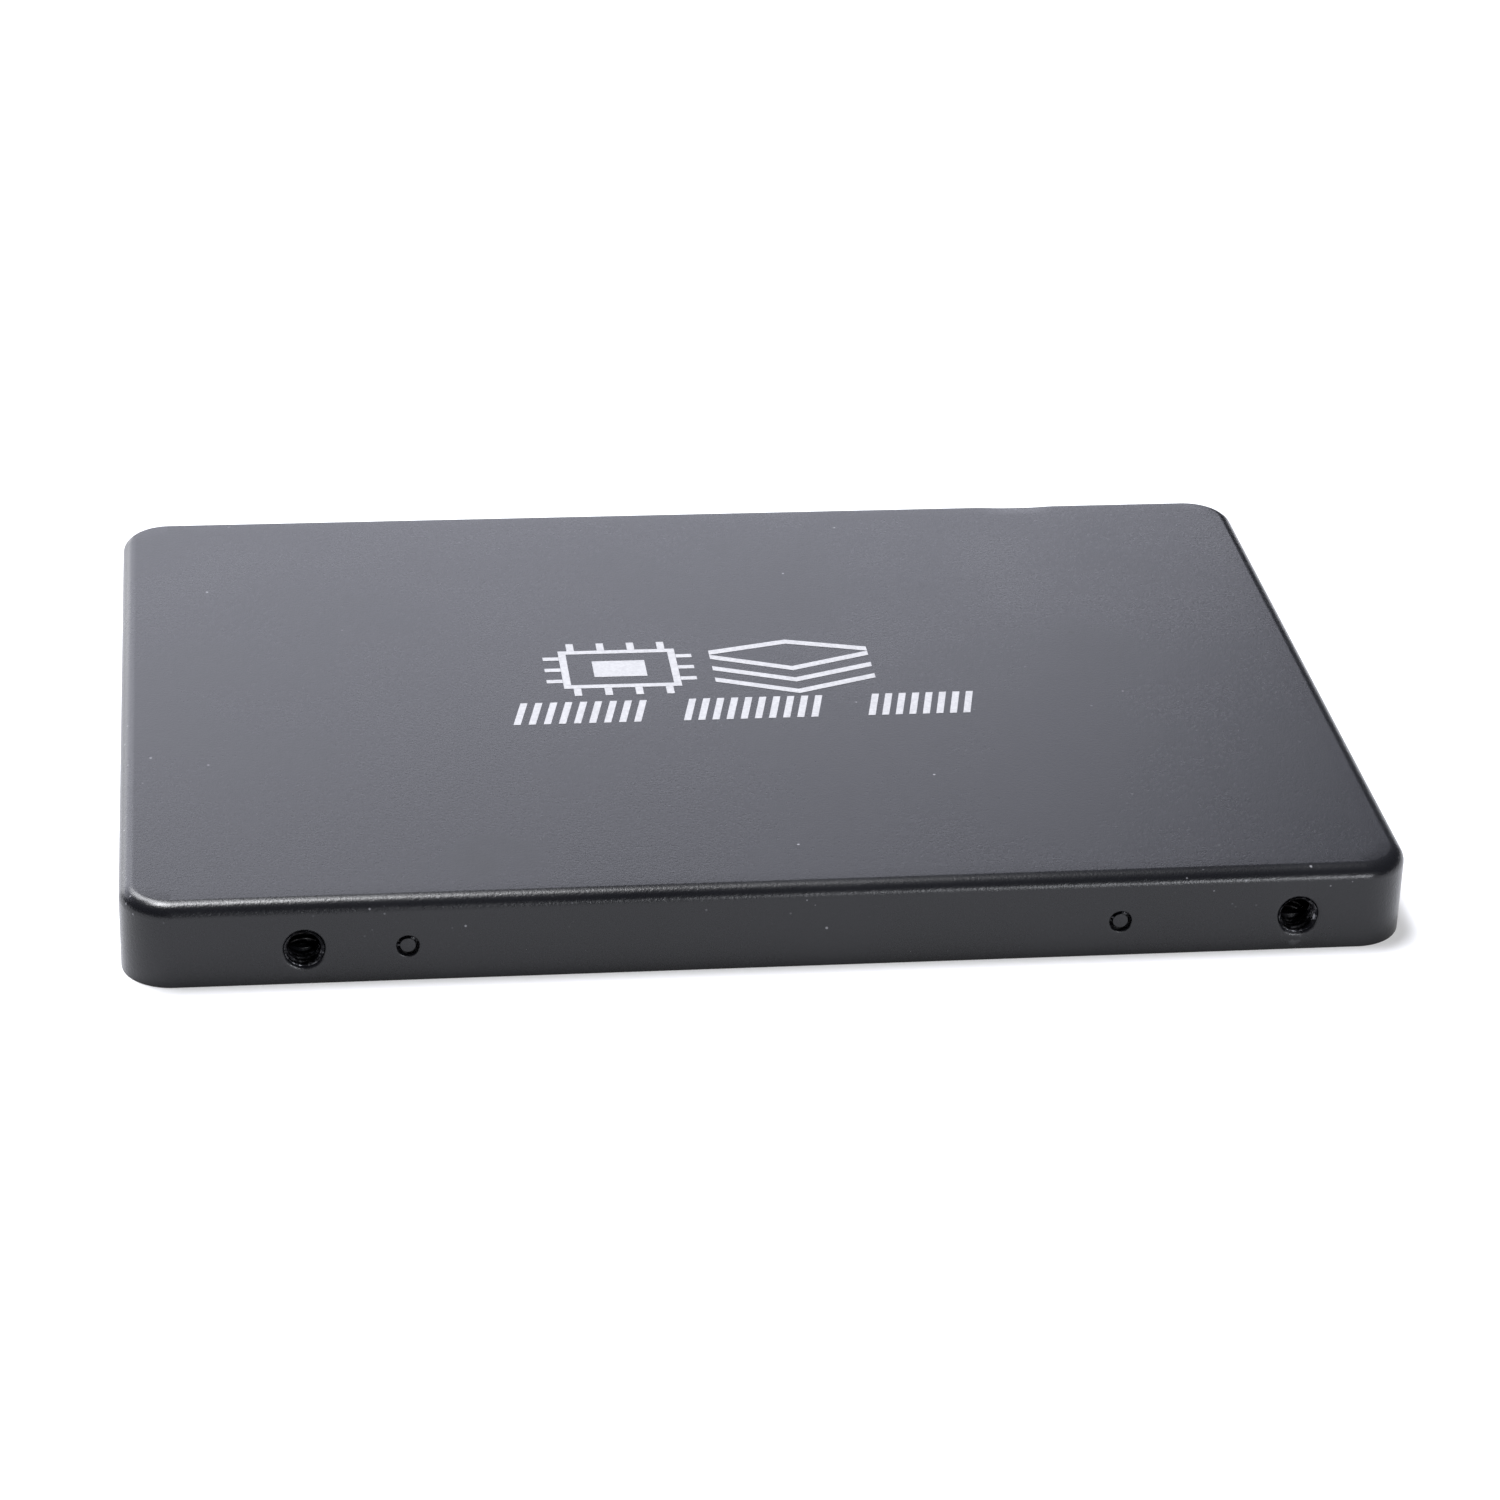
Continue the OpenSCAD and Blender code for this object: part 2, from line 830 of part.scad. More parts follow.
top_cover();
bottom_cover();
bottom_label();
insulator_film();
circuit_board();
board_standoffs();
board_screws();
sata_housing();
sata_signal_contacts();
sata_power_contacts();
sata_board_locks();
controller_chip();
controller_thermal_pad();
for (i = [1:4])
    memory_chip(i);
memory_thermal_pads();
cache_chip();
boot_memory();
boot_memory_leads();
clock_crystal();
crystal_lid();
power_inductors();
inductor_terminals();
voltage_regulators();
regulator_leads();
input_fuse();
surge_suppressor();
tantalum_capacitors();
ceramic_capacitors();
capacitor_terminals();
chip_resistors();
resistor_terminals();
activity_led();
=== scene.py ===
import json
import math
import random

import bmesh
import bpy
from mathutils import Matrix, Vector


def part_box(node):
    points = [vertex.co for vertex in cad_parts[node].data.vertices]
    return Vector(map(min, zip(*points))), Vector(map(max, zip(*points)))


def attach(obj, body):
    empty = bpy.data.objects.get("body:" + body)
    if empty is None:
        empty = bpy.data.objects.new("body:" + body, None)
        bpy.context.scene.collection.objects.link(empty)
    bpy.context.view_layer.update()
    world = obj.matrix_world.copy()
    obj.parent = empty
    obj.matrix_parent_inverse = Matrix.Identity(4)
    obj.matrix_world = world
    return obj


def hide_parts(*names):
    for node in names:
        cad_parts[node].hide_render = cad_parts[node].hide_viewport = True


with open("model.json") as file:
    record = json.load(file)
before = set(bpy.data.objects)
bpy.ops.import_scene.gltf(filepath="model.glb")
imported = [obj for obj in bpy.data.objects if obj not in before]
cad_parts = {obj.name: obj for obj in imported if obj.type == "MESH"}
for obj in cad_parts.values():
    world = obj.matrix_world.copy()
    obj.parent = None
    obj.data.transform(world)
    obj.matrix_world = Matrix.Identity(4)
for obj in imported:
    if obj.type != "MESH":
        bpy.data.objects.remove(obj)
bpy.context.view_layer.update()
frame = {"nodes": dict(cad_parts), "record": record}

MM = 0.001
BODY = "root"
nodes = frame["nodes"]
mounts = {m["name"]: m for m in frame["record"]["mounts"]}

case_low, case_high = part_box("top_cover")
plug_low, plug_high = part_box("sata_housing")
label_low, label_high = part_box("bottom_label")

# Case dimensions, in metres. The box gives the outside, and the rest repeats the CAD's values.
CORNER = 4 * MM
RIM = 1.2 * MM
SHEET = 0.8 * MM
HALF_LENGTH = (case_high.x - case_low.x) / 2
HALF_WIDTH = (case_high.y - case_low.y) / 2
TOP = case_high.z
RIM_START = TOP - RIM
WINDOW_MARGIN = 0.4 * MM
PIN_INSET = 7.8 * MM
PIN_SPACING = 54.8 * MM

hole_xs = [mounts[f"side_hole_{end}_near"]["pos_m"][0] for end in ("connector_end", "closed_end")]
hole_z = mounts["side_hole_connector_end_near"]["pos_m"][2]
thread_radius = mounts["side_hole_connector_end_near"]["dims"]["r_mm"] * MM
bottom_row = mounts["bottom_hole_connector_end_far"]["pos_m"][1]
pin_xs = [hole_xs[0] + PIN_INSET, hole_xs[0] + PIN_INSET + PIN_SPACING]

# Marks of use on the top face
SPECK_AT = (30.6 * MM, 7.8 * MM, TOP)
SMUDGE_AT = (-21.5 * MM, -29 * MM, TOP)

# Paint worn thin on the lower lip of one hole
WORN_LIP_AT = (hole_xs[1] - 0.35 * MM, -HALF_WIDTH, hole_z - 1.75 * MM)


# ---- camera ----

# The camera stands in front of the near long side, a little to the left, and leans slightly.
CAMERA_PLACE = Vector((-41.741, -322.021, 168.277)) * MM
CAMERA_ELEVATION = math.radians(27.283)
CAMERA_AZIMUTH = math.radians(7.773)
CAMERA_LEAN = math.radians(1.909)
CAMERA_LENS = 104.94


def make_camera():
    data = bpy.data.cameras.new("camera")
    data.lens = CAMERA_LENS
    data.sensor_width = 36
    data.clip_start = 0.01
    camera = bpy.data.objects.new("camera", data)
    look = Vector((
        math.sin(CAMERA_AZIMUTH) * math.cos(CAMERA_ELEVATION),
        math.cos(CAMERA_AZIMUTH) * math.cos(CAMERA_ELEVATION),
        -math.sin(CAMERA_ELEVATION),
    ))
    level_right = Vector((math.cos(CAMERA_AZIMUTH), -math.sin(CAMERA_AZIMUTH), 0))
    level_up = level_right.cross(look)
    right = math.cos(CAMERA_LEAN) * level_right + math.sin(CAMERA_LEAN) * level_up
    up = math.cos(CAMERA_LEAN) * level_up - math.sin(CAMERA_LEAN) * level_right
    turn = Matrix((right, up, -look)).transposed()
    camera.matrix_world = Matrix.Translation(CAMERA_PLACE) @ turn.to_4x4()
    bpy.context.scene.collection.objects.link(camera)
    bpy.context.scene.camera = camera


# ---- material tools ----

class Nodes:
    """A material under construction: makes nodes and joins them."""

    def __init__(self, name):
        self.material = bpy.data.materials.new(name)
        self.material.use_nodes = True
        self.tree = self.material.node_tree
        self.shader = self.tree.nodes["Principled BSDF"]
        self.place = self.add("ShaderNodeTexCoord").outputs["Object"]

    def add(self, kind, **settings):
        node = self.tree.nodes.new(kind)
        for key, value in settings.items():
            setattr(node, key, value)
        return node

    def join(self, source, target):
        self.tree.links.new(source, target)

    def feed(self, value, socket):
        """Sets a socket to a number or colour, or joins another socket to it."""
        if isinstance(value, (int, float)):
            socket.default_value = value
        elif isinstance(value, tuple):
            socket.default_value = (*value, 1)
        else:
            self.join(value, socket)

    def set(self, **values):
        """Sets the shader's own sockets, with underscores for spaces."""
        for key, value in values.items():
            self.shader.inputs[key.replace("_", " ")].default_value = value

    def noise(self, scale, detail=2, roughness=0.5):
        """Noise over the object's own coordinates; scale is in features per metre."""
        node = self.add("ShaderNodeTexNoise")
        node.inputs["Scale"].default_value = scale
        node.inputs["Detail"].default_value = detail
        node.inputs["Roughness"].default_value = roughness
        self.join(self.place, node.inputs["Vector"])
        return node.outputs["Fac"]

    def cells(self, scale):
        """Distance to scattered points; scale is in points per metre."""
        node = self.add("ShaderNodeTexVoronoi")
        node.inputs["Scale"].default_value = scale
        self.join(self.place, node.inputs["Vector"])
        return node.outputs["Distance"]

    def span(self, value, low, high, to_low=0.0, to_high=1.0):
        """Maps value from low..high to to_low..to_high, held at the ends."""
        node = self.add("ShaderNodeMapRange")
        node.inputs["From Min"].default_value = low
        node.inputs["From Max"].default_value = high
        node.inputs["To Min"].default_value = to_low
        node.inputs["To Max"].default_value = to_high
        self.join(value, node.inputs["Value"])
        return node.outputs["Result"]

    def spot(self, centre, inner, outer):
        """One soft round mark at a place on the object, from 1 at inner to 0 at outer."""
        node = self.add("ShaderNodeVectorMath", operation="DISTANCE")
        self.join(self.place, node.inputs[0])
        node.inputs[1].default_value = centre
        return self.span(node.outputs["Value"], inner, outer, 1, 0)

    def math(self, operation, first, second):
        node = self.add("ShaderNodeMath", operation=operation)
        self.feed(first, node.inputs[0])
        self.feed(second, node.inputs[1])
        return node.outputs["Value"]

    def mix(self, factor, first, second):
        """Blend of two colours; each is a colour or a socket."""
        node = self.add("ShaderNodeMix", data_type="RGBA")
        self.feed(factor, node.inputs[0])
        self.feed(first, node.inputs[6])
        self.feed(second, node.inputs[7])
        return node.outputs[2]

    def color(self, socket):
        self.join(socket, self.shader.inputs["Base Color"])

    def rough(self, socket):
        self.join(socket, self.shader.inputs["Roughness"])

    def bump(self, *layers):
        """Stacks bumps; each layer is (height socket, depth in metres, strength)."""
        normal = None
        for height, depth, strength in layers:
            node = self.add("ShaderNodeBump")
            node.inputs["Distance"].default_value = depth
            node.inputs["Strength"].default_value = strength
            self.join(height, node.inputs["Height"])
            if normal:
                self.join(normal, node.inputs["Normal"])
            normal = node.outputs["Normal"]
        self.join(normal, self.shader.inputs["Normal"])


# ---- materials ----

def case_paint():
    """Fine satin black coat, with grain, faint smudges and specks of dust."""
    m = Nodes("case_paint")
    m.set(Specular_IOR_Level=0.3, IOR=1.5)
    grain = m.noise(5200, 3, 0.65)
    smudge = m.noise(55, 4, 0.55)
    height = m.add("ShaderNodeSeparateXYZ")
    m.join(m.place, height.inputs["Vector"])

    # Colour: two near blacks, with dust scattered thinly all over
    tone = m.mix(m.span(smudge, 0.35, 0.7), (0.005, 0.0052, 0.0066), (0.0075, 0.0078, 0.0096))
    specks = m.span(m.cells(420), 0.03, 0.055, 1, 0)
    few = m.span(m.noise(90, 1), 0.56, 0.62)
    dusted = m.mix(m.math("MULTIPLY", specks, few), tone, (0.15, 0.15, 0.16))

    # Finer dust in patches along the rim, a worn hole lip and one dark speck
    near_rim = m.span(height.outputs["Z"], 0.5 * TOP, RIM_START, 0, 1)
    off_top = m.span(height.outputs["Z"], TOP - 0.15 * MM, TOP - 0.05 * MM, 1, 0)
    fine = m.span(m.cells(1100), 0.07, 0.12, 1, 0)
    patchy = m.span(m.noise(130, 3, 0.6), 0.48, 0.58)
    rim_dust = m.math("MULTIPLY", m.math("MULTIPLY", fine, patchy), m.math("MULTIPLY", near_rim, off_top))
    dusted = m.mix(rim_dust, dusted, (0.13, 0.13, 0.14))
    worn = m.math("MULTIPLY", m.spot(WORN_LIP_AT, 0.3 * MM, 1.0 * MM), m.span(m.noise(1700, 3), 0.45, 0.6))
    dusted = m.mix(worn, dusted, (0.055, 0.055, 0.06))
    mark = m.spot(SPECK_AT, 0.22 * MM, 0.32 * MM)
    m.color(m.mix(mark, dusted, (0.002, 0.002, 0.002)))

    # Gloss: uneven, and duller where a finger has left a smudge
    wiped = m.math("MULTIPLY", m.spot(SMUDGE_AT, 1.2 * MM, 4.2 * MM), m.span(m.noise(420, 3), 0.4, 0.55))
    base = m.math("ADD", m.span(smudge, 0.3, 0.75, 0.26, 0.31), m.span(grain, 0.3, 0.7, -0.02, 0.03))
    m.rough(m.math("ADD", m.math("MULTIPLY", wiped, 0.07), base))

    # Relief: blasted on the walls and smoother on the top
    walls = m.span(height.outputs["Z"], TOP - 0.3 * MM, TOP, 1, 0.35)
    blast = m.math("MULTIPLY", m.noise(3400, 2, 0.75), walls)
    m.bump((blast, 0.034 * MM, 0.55), (grain, 0.02 * MM, 0.5))
    return m.material


def plain(name, color, roughness, metallic=0.0, grain=3000, depth=0.01, wear=0.12):
    """Simple finish with fine grain and uneven tone."""
    m = Nodes(name)
    fine = m.noise(grain, 3, 0.6)
    broad = m.noise(grain / 40, 3, 0.5)
    m.set(Metallic=metallic)
    darker = tuple(c * (1 - wear) for c in color)
    lighter = tuple(min(1, c * (1 + wear)) for c in color)
    m.color(m.mix(m.span(broad, 0.3, 0.7), darker, lighter))
    m.rough(m.span(fine, 0.3, 0.7, max(0.05, roughness - 0.05), min(1, roughness + 0.06)))
    m.bump((fine, depth * MM, 0.4))
    return m.material


def board_mask():
    """Green solder mask with faint raised tracks under it and small plated vias."""
    m = Nodes("board_mask")
    tracks = m.add("ShaderNodeTexBrick")
    tracks.inputs["Scale"].default_value = 260
    tracks.inputs["Mortar Size"].default_value = 0.09
    tracks.inputs["Color1"].default_value = (0, 0, 0, 1)
    tracks.inputs["Color2"].default_value = (0, 0, 0, 1)
    tracks.inputs["Mortar"].default_value = (1, 1, 1, 1)
    m.join(m.place, tracks.inputs["Vector"])
    wave = m.noise(240, 3)
    line = m.math("MULTIPLY", tracks.outputs["Color"], m.span(wave, 0.42, 0.5))
    vias = m.span(m.cells(330), 0.1, 0.12, 1, 0)
    green = m.mix(line, (0.008, 0.055, 0.028), (0.02, 0.13, 0.06))
    m.color(m.mix(m.math("MULTIPLY", vias, m.span(wave, 0.5, 0.52)), green, (0.55, 0.5, 0.35)))
    m.rough(m.span(m.noise(2500, 3), 0.3, 0.7, 0.3, 0.42))
    m.bump((line, 0.03 * MM, 0.6))
    return m.material


def thread_metal():
    """Cut aluminium thread, dull in the roots and bright in places."""
    m = Nodes("thread_metal")
    swirl = m.noise(2200, 4, 0.7)
    m.set(Metallic=1.0)
    m.color(m.mix(m.span(swirl, 0.5, 0.7), (0.009, 0.009, 0.0105), (0.2, 0.2, 0.21)))
    m.rough(m.span(swirl, 0.3, 0.7, 0.5, 0.28))
    m.bump((m.noise(9000, 3), 0.02 * MM, 0.5))
    return m.material


def print_ink():
    """Silver-white screen print, slightly uneven."""
    m = Nodes("print_ink")
    fine = m.noise(4200, 3, 0.7)
    m.set(Metallic=0.0, Specular_IOR_Level=0.4)
    m.color(m.mix(m.span(fine, 0.35, 0.7), (0.225, 0.225, 0.237), (0.32, 0.32, 0.333)))
    m.rough(m.span(fine, 0.3, 0.7, 0.4, 0.55))
    m.bump((fine, 0.01 * MM, 0.5))
    return m.material


# ---- mesh tools ----

# For copies of CAD nodes: how near points merge, how flat faces join and how sharp an edge gets rounded
MERGE_WITHIN = 0.0001 * MM
FLAT_WITHIN = math.radians(1)
SHARP_FROM = math.radians(40)


def add_piece(name, mesh, material, slot, *replaced):
    """Registers a finished mesh as a piece of the object."""
    piece = bpy.data.objects.new(name, mesh)
    bpy.context.scene.collection.objects.link(piece)
    mesh.materials.clear()
    mesh.materials.append(material)
    mesh.shade_smooth()
    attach(piece, BODY)
    if replaced:
        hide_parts(*replaced)
    return piece


def even_normals(piece):
    """Keeps big flat faces flat beside small rounded ones."""
    weighted = piece.modifiers.new("even_normals", "WEIGHTED_NORMAL")
    weighted.weight = 60
    weighted.keep_sharp = True


def mesh_from(bm, name):
    """Turns a finished bmesh into a mesh."""
    mesh = bpy.data.meshes.new(name)
    bm.to_mesh(mesh)
    bm.free()
    return mesh


def softened(node, name, width, material, slot):
    """A copy of a CAD node with its sharp edges rounded, which takes the node's place."""
    mesh = nodes[node].data.copy()
    mesh.name = name
    if "custom_normal" in mesh.attributes:
        mesh.attributes.remove(mesh.attributes["custom_normal"])
    bm = bmesh.new()
    bm.from_mesh(mesh)
    bmesh.ops.remove_doubles(bm, verts=bm.verts, dist=MERGE_WITHIN)
    bmesh.ops.dissolve_limit(bm, angle_limit=FLAT_WITHIN, verts=bm.verts, edges=bm.edges)
    bm.to_mesh(mesh)
    bm.free()
    piece = add_piece(name, mesh, material, slot, node)
    bevel = piece.modifiers.new("soft_edges", "BEVEL")
    bevel.width = width
    bevel.segments = 2
    bevel.limit_method = "ANGLE"
    bevel.angle_limit = SHARP_FROM
    bevel.harden_normals = False
    even_normals(piece)


def ring_faces(bm, first, second):
    """Joins two rings of the same number of points."""
    count = len(first)
    for i in range(count):
        j = (i + 1) % count
        bm.faces.new((first[i], first[j], second[j], second[i]))


# ---- top cover ----

# One patch of the wall holds one hole: a nearly square loop of points that narrows to rings.
PATCH_HALF = 2.84 * MM
PATCH_STEPS = 12
RIM_STEPS = 10
INNER_RIM_STEPS = 3
CORNER_STEPS = 20

# The far rim's shallow dip
DENT_X = 30.4 * MM
DENT_HALF = 2.6 * MM
DENT_DEPTH = 0.11 * MM
DENT_STEP = 0.5 * MM

# The flat band inside the rim, the rounding of the lips, the angle in radians from which an edge is a lip,
# and how near a point has to be to count as touching
TOP_INSET = 1.5 * MM
LIP_SOFTENING = 0.1 * MM
LIP_ANGLE = 1.2
TOUCH = 0.01 * MM

# Each ring's radius and depth in the wall, in millimetres, from the outside in. The CAD's collars are 2 mm
# in radius and reach 1.9 mm in, and its pin windows are 0.85 mm in radius.
COLLAR_RINGS = [
    (2.3, 0), (2.05, 0.004), (1.88, 0.015), (1.75, 0.04), (1.65, 0.09), (1.57, 0.17), (1.52, 0.28),
    (1.5, 0.42), (1.5, 1.9), (2.0, 1.9), (2.0, 0.86), (2.12, 0.8)
]
WINDOW_RINGS = [(1.25, 0), (1.0, 0.004), (0.93, 0.02), (0.87, 0.07), (0.85, 0.15), (0.85, 0.74), (0.9, 0.8)]


class Station:
    """One place on the outline of the case: the outer point and its outward direction."""

    def __init__(self, x, y, nx, ny):
        self.point = Vector((x, y, 0))
        self.out = Vector((nx, ny, 0))
        self.outer = []
        self.inner = []
        self.outer_side = []
        self.inner_side = []
        self.in_window = False


def side_places():
    """X places along a long side: the ends, the points of each patch and those around the dent."""
    places = {-HALF_LENGTH + CORNER, HALF_LENGTH - CORNER, 0.0, -15 * MM, 14 * MM}
    for x in hole_xs + pin_xs:
        places |= {x + PATCH_HALF * (2 * i / PATCH_STEPS - 1) for i in range(PATCH_STEPS + 1)}
    places |= {DENT_X + DENT_STEP * i for i in range(-1, 8)}
    return sorted(places)


def outline_stations():
    """The case's outline, anticlockwise from above."""
    window_low = plug_low.y - WINDOW_MARGIN
    window_high = plug_high.y + WINDOW_MARGIN
    inner_x = HALF_LENGTH - CORNER
    inner_y = HALF_WIDTH - CORNER
    xs = side_places()
    stations = []

    def corner(cx, cy, start):
        for i in range(1, CORNER_STEPS):
            a = math.radians(start + 90 * i / CORNER_STEPS)
            stations.append(Station(
                cx + CORNER * math.cos(a), cy + CORNER * math.sin(a), math.cos(a), math.sin(a)))

    for y in (-inner_y, -inner_y / 3, inner_y / 3, inner_y):
        stations.append(Station(HALF_LENGTH, y, 1, 0))
    corner(inner_x, inner_y, 0)
    for x in reversed(xs):
        stations.append(Station(x, HALF_WIDTH, 0, 1))
    corner(-inner_x, inner_y, 90)
    for y in (inner_y, window_high, (window_high + window_low) / 2, window_low, -inner_y):
        stations.append(Station(-HALF_LENGTH, y, -1, 0))
        stations[-1].in_window = window_high > y > window_low
    corner(-inner_x, -inner_y, 180)
    for x in xs:
        stations.append(Station(x, -HALF_WIDTH, 0, -1))
    corner(inner_x, -inner_y, 270)
    return stations


def raise_columns(bm, stations):
    """Makes each station's points: up the outer wall and over the rim, and the same inside."""
    inner_rim = RIM - SHEET
    for s in stations:
        s.outer.append(bm.verts.new(s.point))
        for i in range(RIM_STEPS + 1):
            a = math.pi / 2 * i / RIM_STEPS
            place = s.point - s.out * RIM * (1 - math.cos(a))
            place.z = RIM_START + RIM * math.sin(a)
            if s.out.y > 0.5:
                near = math.exp(-((s.point.x - DENT_X) / DENT_HALF) ** 4)
                place.z -= DENT_DEPTH * near * math.sin(a)
            s.outer.append(bm.verts.new(place))
        s.inner.append(bm.verts.new(s.point - s.out * SHEET))
        for i in range(INNER_RIM_STEPS + 1):
            a = math.pi / 2 * i / INNER_RIM_STEPS
            place = s.point - s.out * (SHEET + inner_rim * (1 - math.cos(a)))
            place.z = RIM_START + inner_rim * math.sin(a)
            s.inner.append(bm.verts.new(place))


def wall_patch(bm, left, right, middle, rings):
    """One hole through the wall. left..right are the patch's stations as seen from outside."""
    out = middle[0].out
    across = Vector((-out.y, out.x, 0))
    steps = [i / PATCH_STEPS for i in range(1, PATCH_STEPS)]
    loops = []
    for column, side, inset in (("outer", "outer_side", 0), ("inner", "inner_side", SHEET)):
        for s in (left, right):
            points = [bm.verts.new(s.point - s.out * inset + Vector((0, 0, RIM_START * t))) for t in steps]
            setattr(s, side, points)
        bottom = [getattr(s, column)[0] for s in (left, *middle, right)]
        top = [getattr(s, column)[1] for s in (left, *middle, right)]
        loops.append(
            bottom + getattr(right, side) + top[::-1] + getattr(left, side)[::-1])
    centre = (left.point + right.point) / 2 + Vector((0, 0, hole_z))
    count = len(loops[0])
    previous = loops[0]
    for radius, depth in rings:
        ring = []
        for i in range(count):
            a = math.radians(-135 + 360 * i / count)
            ring.append(bm.verts.new(
                centre - out * depth * MM
                + across * radius * MM * math.cos(a) + Vector((0, 0, radius * MM * math.sin(a)))))
        ring_faces(bm, previous, ring)
        previous = ring
    ring_faces(bm, previous, loops[1])


def cut_holes(bm, stations):
    """Makes a patch for each side hole and pin window. Gives the numbers of the stations it fills in."""
    patched = set()
    for centre, rings in [(x, COLLAR_RINGS) for x in hole_xs] + [(x, WINDOW_RINGS) for x in pin_xs]:
        for side in (-1, 1):
            span = [
                i for i, s in enumerate(stations)
                if s.out.y == side and abs(s.point.x - centre) < PATCH_HALF + TOUCH]
            run = [stations[i] for i in span]
            wall_patch(bm, run[0], run[-1], run[1:-1], rings)
            patched |= set(span[:-1])
    return patched


def skin_walls(bm, stations, patched):
    """Fills the rim and the walls between stations, except for the patches and the plug's opening."""
    for i, s in enumerate(stations):
        t = stations[(i + 1) % len(stations)]
        for k in range(1, RIM_STEPS + 1):
            bm.faces.new((s.outer[k], t.outer[k], t.outer[k + 1], s.outer[k + 1]))
        for k in range(1, INNER_RIM_STEPS + 1):
            bm.faces.new((t.inner[k], s.inner[k], s.inner[k + 1], t.inner[k + 1]))
        if s.in_window or t.in_window:
            bm.faces.new((s.outer[1], t.outer[1], t.inner[1], s.inner[1]))
            for jamb in (s, t):
                if not jamb.in_window:
                    bm.faces.new((jamb.outer[0], jamb.outer[1], jamb.inner[1], jamb.inner[0]))
            continue
        bm.faces.new((s.outer[0], s.inner[0], t.inner[0], t.outer[0]))
        if i in patched:
            continue
        for column, side in (("outer", "outer_side"), ("inner", "inner_side")):
            a, b = getattr(s, column), getattr(t, column)
            bm.faces.new((a[0], b[0], *getattr(t, side), b[1], a[1], *reversed(getattr(s, side))))


def close_top(bm, stations):
    """Closes the top outside, with a flat band along the rim, and its ceiling inside."""
    top_ring = [s.outer[-1] for s in stations]
    inset = [bm.verts.new(v.co - s.out * TOP_INSET) for v, s in zip(top_ring, stations)]
    for v in inset:
        v.co.z = TOP
    ring_faces(bm, top_ring, inset)
    bm.faces.new(inset)
    bm.faces.new([s.inner[-1] for s in reversed(stations)])


def on_lip(edge):
    """Whether an edge is a sharp one, along the bottom of the walls or around the plug's opening."""
    if len(edge.link_faces) != 2 or edge.calc_face_angle() <= LIP_ANGLE:
        return False
    at_bottom = all(v.co.z < TOUCH for v in edge.verts)
    at_plug_end = all(v.co.x < -HALF_LENGTH + 2 * SHEET for v in edge.verts)
    return at_bottom or at_plug_end


def build_top_cover(material):
    """Drawn sheet cover with rolled-in hole rims, made as one closed skin."""
    bm = bmesh.new()
    stations = outline_stations()
    raise_columns(bm, stations)
    patched = cut_holes(bm, stations)
    skin_walls(bm, stations, patched)
    close_top(bm, stations)
    bm.normal_update()
    bmesh.ops.recalc_face_normals(bm, faces=bm.faces)
    lip = [e for e in bm.edges if on_lip(e)]
    bmesh.ops.bevel(bm, geom=lip, offset=LIP_SOFTENING, segments=2, profile=0.5, affect="EDGES")
    mesh = mesh_from(bm, "top_cover_shell")
    piece = add_piece("top_cover_shell", mesh, material, "case_black", "top_cover")
    even_normals(piece)


# ---- threads ----

THREAD_PITCH = 0.5 * MM
THREAD_DEPTH = 0.25 * MM
THREAD_POINTS = 40
ROWS_PER_PITCH = 10

# A slope over 1 flattens the ridge's crest. The gaps keep the sleeve clear of the bore.
RIDGE_SLOPE = 1.25
LEAD_IN = 0.35 * THREAD_PITCH
ROOT_GAP = 0.01 * MM
SLEEVE_GAP = 0.002 * MM

# Where each kind of thread starts below the surface, and its length
SIDE_THREAD = (0.1 * MM, 1.78 * MM)
BOTTOM_THREAD = (0.25 * MM, 1.73 * MM)


def thread_sleeve(name, mouth, inward, reach, material):
    """Female M3 thread: a closed tube whose inside is a helical groove."""
    bm = bmesh.new()
    start, length = reach
    side = inward.orthogonal().normalized()
    other = inward.cross(side)

    def point(depth, turn, radius):
        a = 2 * math.pi * turn
        return bm.verts.new(mouth + inward * depth + (side * math.cos(a) + other * math.sin(a)) * radius)

    rows = int(length / THREAD_PITCH * ROWS_PER_PITCH)
    inner = []
    for j in range(rows + 1):
        depth = length * j / rows
        ring = []
        for i in range(THREAD_POINTS):
            turn = i / THREAD_POINTS
            phase = (depth / THREAD_PITCH + turn) % 1
            ridge = min(1, RIDGE_SLOPE * (1 - abs(2 * phase - 1)))
            fade = min(1, depth / LEAD_IN)
            ring.append(point(start + depth, turn, thread_radius - ROOT_GAP - THREAD_DEPTH * ridge * fade))
        inner.append(ring)
    for first, second in zip(inner, inner[1:]):
        ring_faces(bm, first, second)
    ends = [
        [point(depth, i / THREAD_POINTS, thread_radius - SLEEVE_GAP) for i in range(THREAD_POINTS)]
        for depth in (start + length, start)
    ]
    ring_faces(bm, inner[-1], ends[0])
    ring_faces(bm, ends[0], ends[1])
    ring_faces(bm, ends[1], inner[0])
    bmesh.ops.recalc_face_normals(bm, faces=bm.faces)
    add_piece(name, mesh_from(bm, name), material, "case_black")


def build_threads(material):
    """A thread in each of the four side holes and the four bottom holes."""
    number = 0
    for x in hole_xs:
        for side in (-1, 1):
            number += 1
            thread_sleeve(
                f"side_thread_{number}", Vector((x, side * HALF_WIDTH, hole_z)), Vector((0, -side, 0)),
                SIDE_THREAD, material)
            thread_sleeve(
                f"bottom_thread_{number}", Vector((x, side * bottom_row, 0)), Vector((0, 0, 1)),
                BOTTOM_THREAD, material)


# ---- paint bridging the gaps around the pins ----

WEB_INNER = 0.57 * MM
WEB_OUTER = 0.86 * MM
WEB_TOP = 0.09 * MM
WEB_BOTTOM = 0.34 * MM
WEB_SAG = 0.12 * MM
WEB_STEPS = 10


